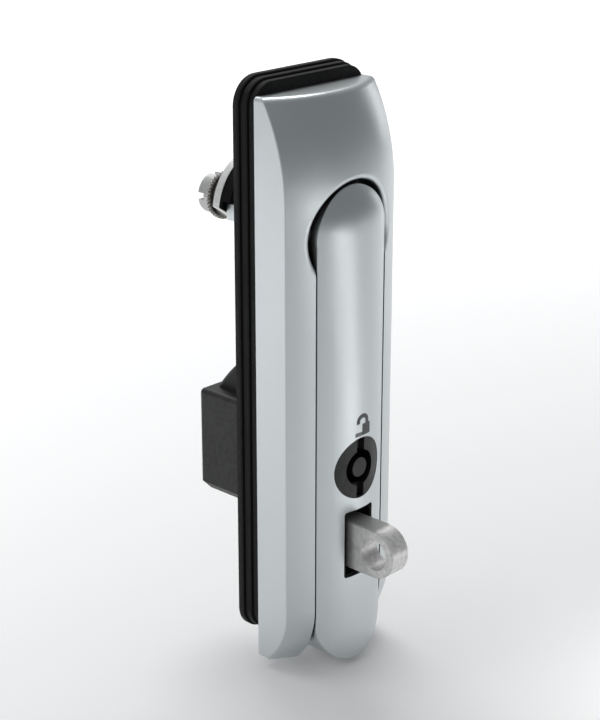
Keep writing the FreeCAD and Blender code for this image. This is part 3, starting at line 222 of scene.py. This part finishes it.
def mixColour(tree, factor, first, second):
    node = addNode(tree, "ShaderNodeMix", data_type="RGBA")
    link(tree, factor, node.inputs["Factor"])
    for label, colour in (("A", first), ("B", second)):
        socket = [s for s in node.inputs if s.name == label and s.type == "RGBA"][0]
        if isinstance(colour, tuple):
            socket.default_value = (*colour, 1.0)
        else:
            link(tree, colour, socket)
    return [s for s in node.outputs if s.type == "RGBA"][0]


def startMaterial(name, **sockets):
    material = bpy.data.materials.new(name)
    material.use_nodes = True
    tree = material.node_tree
    shader = tree.nodes["Principled BSDF"]
    for label, value in sockets.items():
        shader.inputs[label.replace("_", " ")].default_value = value
    return material, tree, shader


def addBump(tree, shader, height, strength, distance):
    bump = addNode(tree, "ShaderNodeBump")
    bump.inputs["Strength"].default_value = strength
    bump.inputs["Distance"].default_value = distance
    link(tree, height, bump.inputs["Height"])
    link(tree, bump.outputs["Normal"], shader.inputs["Normal"])


def grainyTint(tree, look):
    # soft clouds in the tint and another, paler tint on the rims, partly rubbed wear and partly
    # painted highlight
    grain = useGroup(tree, castGrain, Grain_Size=look["grainSize"], Cloud_Size=look["cloudSize"])
    rims = useGroup(tree, rimWearSheenAndGapShade, Start=look["rimStart"], Full=look["rimFull"])
    clouds = mixColour(tree, grain.outputs["Clouds"], look["colour"], look["cloudColour"])
    paledTint = mixColour(tree, rims.outputs["Edges"], clouds, look["rimColour"])
    return grain, rims, paledTint


def castMetal(name, look):
    # plated castings: grain in the gloss, clouds in the tint, painted shade in the narrow gaps
    material, tree, shader = startMaterial(name, Metallic=look["metallic"])
    grain, rims, paledTint = grainyTint(tree, look)
    # painted shade: the narrow gaps are darkened towards a dark colour
    gapShaded = mixColour(tree, rims.outputs["Gap Shade"], paledTint, look["gapShadeColour"])
    link(tree, gapShaded, shader.inputs["Base Color"])
    gloss = rangeNode(tree, grain.outputs["Clouds"], *noiseMiddle, *look["roughness"])
    speckles = rangeNode(tree, grain.outputs["Height"], *noiseMiddle, -speckle, speckle)
    link(tree, mathNode(tree, "ADD", gloss, speckles), shader.inputs["Roughness"])
    addBump(tree, shader, grain.outputs["Height"], look["bump"], look["bumpDepth"])
    return material


def brushedMetal(name, look):
    # metal with scratches along one axis, and paler rims that are partly rubbed wear and partly
    # painted highlight
    material, tree, shader = startMaterial(name, Metallic=look["metallic"])
    lines = useGroup(tree, brushedLines, Stretch=look["stretch"], Line_Size=look["lineSize"])
    rims = useGroup(tree, rimWearSheenAndGapShade, Start=look["rimStart"], Full=look["rimFull"])
    streaked = mixColour(tree, lines.outputs["Streaks"], look["colour"], look["streakColour"])
    paledTint = mixColour(tree, rims.outputs["Edges"], streaked, look["rimColour"])
    link(tree, paledTint, shader.inputs["Base Color"])
    gloss = rangeNode(tree, lines.outputs["Streaks"], 0.0, 1.0, *look["roughness"])
    link(tree, gloss, shader.inputs["Roughness"])
    addBump(tree, shader, lines.outputs["Height"], look["bump"], look["bumpDepth"])
    return material


def blackMould(name, look):
    # moulded rubber and plastic: matt, with a faint paler tint on raised rims, partly rubbed wear
    # and partly painted highlight
    material, tree, shader = startMaterial(name, Specular_IOR_Level=look["specular"])
    grain, _, rimWearAndSheenTint = grainyTint(tree, look)
    link(tree, rimWearAndSheenTint, shader.inputs["Base Color"])
    gloss = rangeNode(tree, grain.outputs["Clouds"], *noiseMiddle, *look["roughness"])
    link(tree, gloss, shader.inputs["Roughness"])
    addBump(tree, shader, grain.outputs["Height"], look["bump"], look["bumpDepth"])
    return material


# in these looks the dark gap colour is painted shade in the narrow gaps, and the paler rim colours
# are partly rubbed wear and partly painted highlight
satinSilverLook = {
    "colour": (0.62, 0.66, 0.67), "cloudColour": (0.65, 0.69, 0.70),
    "rimColour": (0.64, 0.68, 0.69), "gapShadeColour": (0.06, 0.064, 0.066),
    "metallic": 0.92, "roughness": (0.31, 0.35), "grainSize": 5200.0, "cloudSize": 38.0,
    "rimStart": 0.53, "rimFull": 0.62, "bump": 0.10, "bumpDepth": 0.00006,
}
gasketLook = {
    "colour": (0.0085, 0.0085, 0.009), "cloudColour": (0.012, 0.012, 0.0125),
    "rimColour": (0.028, 0.028, 0.029), "specular": 0.13, "roughness": (0.48, 0.60),
    "grainSize": 3800.0, "cloudSize": 90.0, "rimStart": 0.51, "rimFull": 0.60,
    "bump": 0.25, "bumpDepth": 0.0001,
}
boxLook = {
    "colour": (0.013, 0.013, 0.0135), "cloudColour": (0.015, 0.015, 0.0155),
    "rimColour": (0.030, 0.030, 0.031), "specular": 0.34, "roughness": (0.46, 0.52),
    "grainSize": 6500.0, "cloudSize": 50.0, "rimStart": 0.51, "rimFull": 0.60,
    "bump": 0.10, "bumpDepth": 0.00008,
}
linerLook = {
    "colour": (0.0025, 0.0025, 0.0025), "cloudColour": (0.004, 0.004, 0.004),
    "rimColour": (0.006, 0.006, 0.006), "specular": 0.1, "roughness": (0.6, 0.7),
    "grainSize": 5000.0, "cloudSize": 90.0, "rimStart": 0.53, "rimFull": 0.62,
    "bump": 0.2, "bumpDepth": 0.00008,
}
insertLook = {
    "colour": (0.008, 0.008, 0.0083), "cloudColour": (0.011, 0.011, 0.0113),
    "rimColour": (0.024, 0.024, 0.025), "specular": 0.36, "roughness": (0.34, 0.42),
    "grainSize": 5600.0, "cloudSize": 160.0, "rimStart": 0.52, "rimFull": 0.60,
    "bump": 0.12, "bumpDepth": 0.00005,
}
sectorLook = dict(
    gasketLook, colour=(0.0035, 0.0035, 0.0035), cloudColour=(0.005, 0.005, 0.005),
    rimColour=(0.009, 0.009, 0.009), specular=0.06)
paleLook = dict(
    satinSilverLook, colour=(0.62, 0.62, 0.61), cloudColour=(0.68, 0.68, 0.67),
    rimColour=(0.80, 0.80, 0.79), gapShadeColour=(0.16, 0.16, 0.155), metallic=0.85,
    roughness=(0.36, 0.46), bump=0.25, bumpDepth=0.0001)
nutLook = dict(
    paleLook, colour=(0.42, 0.42, 0.415), cloudColour=(0.47, 0.47, 0.465),
    rimColour=(0.50, 0.50, 0.495))
haspLook = {
    "colour": (0.50, 0.494, 0.484), "streakColour": (0.60, 0.594, 0.584),
    "rimColour": (0.94, 0.93, 0.92), "stretch": (1.0, 1.0, 0.04), "lineSize": 2600.0,
    "metallic": 0.50, "roughness": (0.36, 0.44), "rimStart": 0.52, "rimFull": 0.60,
    "bump": 0.07, "bumpDepth": 0.00005,
}
zincLook = {
    "colour": (0.40, 0.40, 0.395), "streakColour": (0.48, 0.48, 0.47),
    "rimColour": (0.50, 0.50, 0.49), "stretch": (1.0, 0.08, 1.0), "lineSize": 1500.0,
    "metallic": 1.0, "roughness": (0.30, 0.45), "rimStart": 0.52, "rimFull": 0.60,
    "bump": 0.2, "bumpDepth": 0.00006,
}
ringLook = dict(
    zincLook, colour=(0.16, 0.155, 0.145), streakColour=(0.23, 0.222, 0.21),
    rimColour=(0.36, 0.35, 0.33))
brassLook = dict(
    zincLook, colour=(0.60, 0.45, 0.22), streakColour=(0.68, 0.53, 0.28),
    rimColour=(0.80, 0.66, 0.38))

# each material with the CAD nodes that wear it
dressing = [
    (castMetal("satinSilver", satinSilverLook), ("dish", "lever", "carrier")),
    (blackMould("gasketRubber", gasketLook), ("gasket", "plug_seal", "neck_seal", "rest_buffer")),
    (blackMould("boxPlastic", boxLook), ("rear_box",)),
    (blackMould("linerPlastic", linerLook), ("slot_liner",)),
    (blackMould("insertBlack", insertLook), ("lock_plug",)),
    (blackMould("sectorBlack", sectorLook), ("stop_sector",)),
    (castMetal("palePlate", paleLook), ("stop_disc",)),
    (castMetal("nutPlate", nutLook), ("slotted_nut",)),
    (brushedMetal("haspSteel", haspLook), ("hasp", "pivot_pin")),
    (brushedMetal("zincSteel", zincLook),
     ("lock_housing", "lock_clip", "lock_cam", "cam_washer", "cam_screw", "hasp_screws",
      "rear_box_screws", "thrust_washer", "spindle")),
    (brushedMetal("ringSteel", ringLook), ("serrated_ring",)),
    (brushedMetal("bushBrass", brassLook), ("neck_bush",)),
]
for material, names in dressing:
    for name in names:
        mesh = frame["nodes"][name].data
        mesh.materials.clear()
        mesh.materials.append(material)
print("solids dressed")


# Printed sign on the lever

leverFront = {
    "half": 0.0137, "edge": 0.02205, "rise": 0.0044,  # section of the lever's convex front
}


def leverDepth(x):
    # how far the lever's front stands in front of the door at this distance from its middle
    rise, half = leverFront["rise"], leverFront["half"]
    radius = (half ** 2 + rise ** 2) / (2 * rise)
    return leverFront["edge"] + rise - (radius - math.sqrt(radius ** 2 - x ** 2))


signPlan = {
    "shackle": {
        "centre": (0.00065, -0.0557), "outer": (0.00245, 0.0022), "inner": (0.00122, 0.00098),
        "tip": 0.0006, "steps": 28},
    "block": (0.0005, -0.0600, 0.00385, -0.0566),  # left, bottom, right, top
    "foot": (-0.0023, -0.0600, 0.0004, -0.0589),
    "columns": 8, "lift": 0.00002, "film": 0.00003,
}
inkLook = {
    "colour": (0.085, 0.09, 0.093), "fadedColour": (0.20, 0.207, 0.21), "cloudGain": 1.35,
    "metallic": 0.15, "roughness": (0.45, 0.58), "grainSize": 4200.0, "cloudSize": 420.0,
    "bump": 0.15, "bumpDepth": 0.00005,
}


def shackleEdge(plan, reach):
    # one rim of the open shackle, from the block over the top to its free tip
    arch = plan["shackle"]
    (x, z), (wide, tall) = arch["centre"], arch[reach]
    rim = [(x + wide, plan["block"][3])]
    for step in range(arch["steps"] + 1):
        angle = math.pi * step / arch["steps"]
        rim.append((x + wide * math.cos(angle), z + tall * math.sin(angle)))
    return rim + [(x - wide, z - arch["tip"])]


def barEdges(plan, piece):
    left, bottom, right, top = plan[piece]
    columns = plan["columns"]
    across = [left + (right - left) * step / columns for step in range(columns + 1)]
    return [(x, bottom) for x in across], [(x, top) for x in across]


def makeInk(name, look, colour):
    material, tree, shader = startMaterial(name, Metallic=look["metallic"])
    grain = useGroup(tree, castGrain, Grain_Size=look["grainSize"], Cloud_Size=look["cloudSize"])
    paledTint = tuple(channel * look["cloudGain"] for channel in colour)
    tint = mixColour(tree, grain.outputs["Clouds"], colour, paledTint)
    link(tree, tint, shader.inputs["Base Color"])
    gloss = rangeNode(tree, grain.outputs["Clouds"], *noiseMiddle, *look["roughness"])
    link(tree, gloss, shader.inputs["Roughness"])
    addBump(tree, shader, grain.outputs["Height"], look["bump"], look["bumpDepth"])
    return material


def buildSign(plan, look):
    # an open padlock: a block, a paler foot and a shackle that stands open on the left
    shape = bmesh.new()
    strips = [(shackleEdge(plan, "outer"), shackleEdge(plan, "inner"), 0),
              (*barEdges(plan, "block"), 0), (*barEdges(plan, "foot"), 1)]
    for first, second, slot in strips:
        rows = [[shape.verts.new((x, -leverDepth(x) - plan["lift"], z)) for x, z in rim]
                for rim in (first, second)]
        for step in range(len(first) - 1):
            near, far = rows[0][step:step + 2], rows[1][step:step + 2]
            face = shape.faces.new((near[0], near[1], far[1], far[0]))
            face.material_index = slot
            face.normal_update()
            if face.normal.y > 0:
                face.normal_flip()
    mesh = bpy.data.meshes.new("openPadlockSign")
    shape.to_mesh(mesh)
    shape.free()
    sign = bpy.data.objects.new("openPadlockSign", mesh)
    bpy.context.scene.collection.objects.link(sign)
    film = sign.modifiers.new("inkFilm", "SOLIDIFY")
    film.thickness, film.offset = plan["film"], 1.0
    mesh.materials.append(makeInk("signInk", look, look["colour"]))
    mesh.materials.append(makeInk("signInkFaded", look, look["fadedColour"]))
    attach(sign, "handle")


buildSign(signPlan, inkLook)
print("sign printed")


# Floor, light and camera

floorPlan = {
    "drop": 0.0015, "size": 8.0, "colour": (0.88, 0.88, 0.88), "roughness": 0.9, "glow": 0.11,
}


def makeFloor(plan):
    shape = bmesh.new()
    bmesh.ops.create_grid(shape, x_segments=2, y_segments=2, size=plan["size"])
    mesh = bpy.data.meshes.new("studioFloor")
    shape.to_mesh(mesh)
    shape.free()
    floor = bpy.data.objects.new("studioFloor", mesh)
    floor.location.z = solidBox[0].z - plan["drop"]
    bpy.context.scene.collection.objects.link(floor)
    material, tree, shader = startMaterial(
        "paleFloor", Roughness=plan["roughness"], Specular_IOR_Level=0.0)
    shader.inputs["Base Color"].default_value = (*plan["colour"], 1.0)
    shader.inputs["Emission Color"].default_value = (1.0, 1.0, 1.0, 1.0)
    # a little glow lifts the floor for the eye and in gloss, and it keeps the shadow
    paths = addNode(tree, "ShaderNodeLightPath").outputs
    seen = mathNode(tree, "ADD", paths["Is Camera Ray"], paths["Is Glossy Ray"], True)
    seen = mathNode(tree, "ADD", seen, paths["Is Transmission Ray"], True)
    glow = mathNode(tree, "MULTIPLY", seen, plan["glow"])
    link(tree, glow, shader.inputs["Emission Strength"])
    mesh.materials.append(material)


worldPlan = {
    "dark": (0.22, 0.225, 0.23), "bright": (0.55, 0.56, 0.57), "strength": 1.0,
    "brightSide": (-0.25, 0.95, 0.30),  # the world is brightest in this direction
    "fade": (-0.6, 0.8),  # cosines from that direction at which it is dark and bright
}


def makeWorld(plan):
    world = bpy.data.worlds.new("studioWorld")
    bpy.context.scene.world = world
    world.use_nodes = True
    tree = world.node_tree
    light = tree.nodes["Background"]
    light.inputs["Strength"].default_value = plan["strength"]
    facing = addNode(tree, "ShaderNodeVectorMath", operation="DOT_PRODUCT")
    link(tree, addNode(tree, "ShaderNodeTexCoord").outputs["Generated"], facing.inputs[0])
    facing.inputs[1].default_value = Vector(plan["brightSide"]).normalized()
    fall = rangeNode(tree, facing.outputs["Value"], *plan["fade"], 0.0, 1.0)
    link(tree, mixColour(tree, fall, plan["dark"], plan["bright"]), light.inputs["Color"])


# place, target, size, power in watts and spread in degrees; the pools light the floor that
# the front of the metal mirrors
lamps = {
    "poolSoftbox": (
        (0.120, -0.262, 0.30), (0.139, -0.304, -0.13), (0.05, 0.42), 0.120, 24.0),
    "farPoolSoftbox": (
        (0.07, -0.62, 0.35), (0.07, -0.62, -0.13), (0.12, 0.30), 0.46, 38.0),
    "rightSoftbox": (
        (0.95, 0.05, 0.11), (0.0, 0.0, 0.0), (0.30, 0.30), 0.30, 180.0),
    "backSoftbox": (
        (0.75, 0.85, 1.3), (0.65, 0.75, -0.13), (1.0, 1.0), 8.5, 100.0),
    "leftSoftbox": (
        (-0.40, 0.45, 0.75), (-0.30, 0.40, -0.13), (0.4, 0.4), 0.65, 60.0),
    "topSoftbox": (
        (0.25, -0.10, 1.0), (0.0, 0.0, 0.0), (0.30, 0.30), 0.12, 180.0),
}


def makeLamp(name, place, target, size, power, spread):
    data = bpy.data.lights.new(name, "AREA")
    data.shape = "RECTANGLE"
    data.size, data.size_y = size
    data.energy = power
    data.spread = math.radians(spread)
    lamp = bpy.data.objects.new(name, data)
    lamp.location = place
    lamp.visible_camera = False
    lamp.rotation_mode = "QUATERNION"
    lamp.rotation_quaternion = (Vector(target) - Vector(place)).to_track_quat("-Z", "Y")
    bpy.context.scene.collection.objects.link(lamp)


cameraPlan = {
    "sensor": 36.0, "lens": 88.25, "clip": (0.01, 20.0), "place": (-0.3448, -0.3288, 0.1294),
    "right": (0.687, -0.7266, 0.0), "ahead": (0.683, 0.6456, -0.342),
}


def makeCamera(plan):
    data = bpy.data.cameras.new("photoCamera")
    data.sensor_width = plan["sensor"]
    data.lens = plan["lens"]
    data.clip_start, data.clip_end = plan["clip"]
    camera = bpy.data.objects.new("photoCamera", data)
    right = Vector(plan["right"]).normalized()
    ahead = Vector(plan["ahead"]).normalized()
    turned = Matrix((right, right.cross(ahead), -ahead)).transposed().to_4x4()
    camera.matrix_world = Matrix.Translation(plan["place"]) @ turned
    bpy.context.scene.collection.objects.link(camera)
    bpy.context.scene.camera = camera


makeFloor(floorPlan)
makeWorld(worldPlan)
for name, settings in lamps.items():
    makeLamp(name, *settings)
makeCamera(cameraPlan)
bpy.context.scene.view_settings.view_transform = "Standard"
print("studio ready")
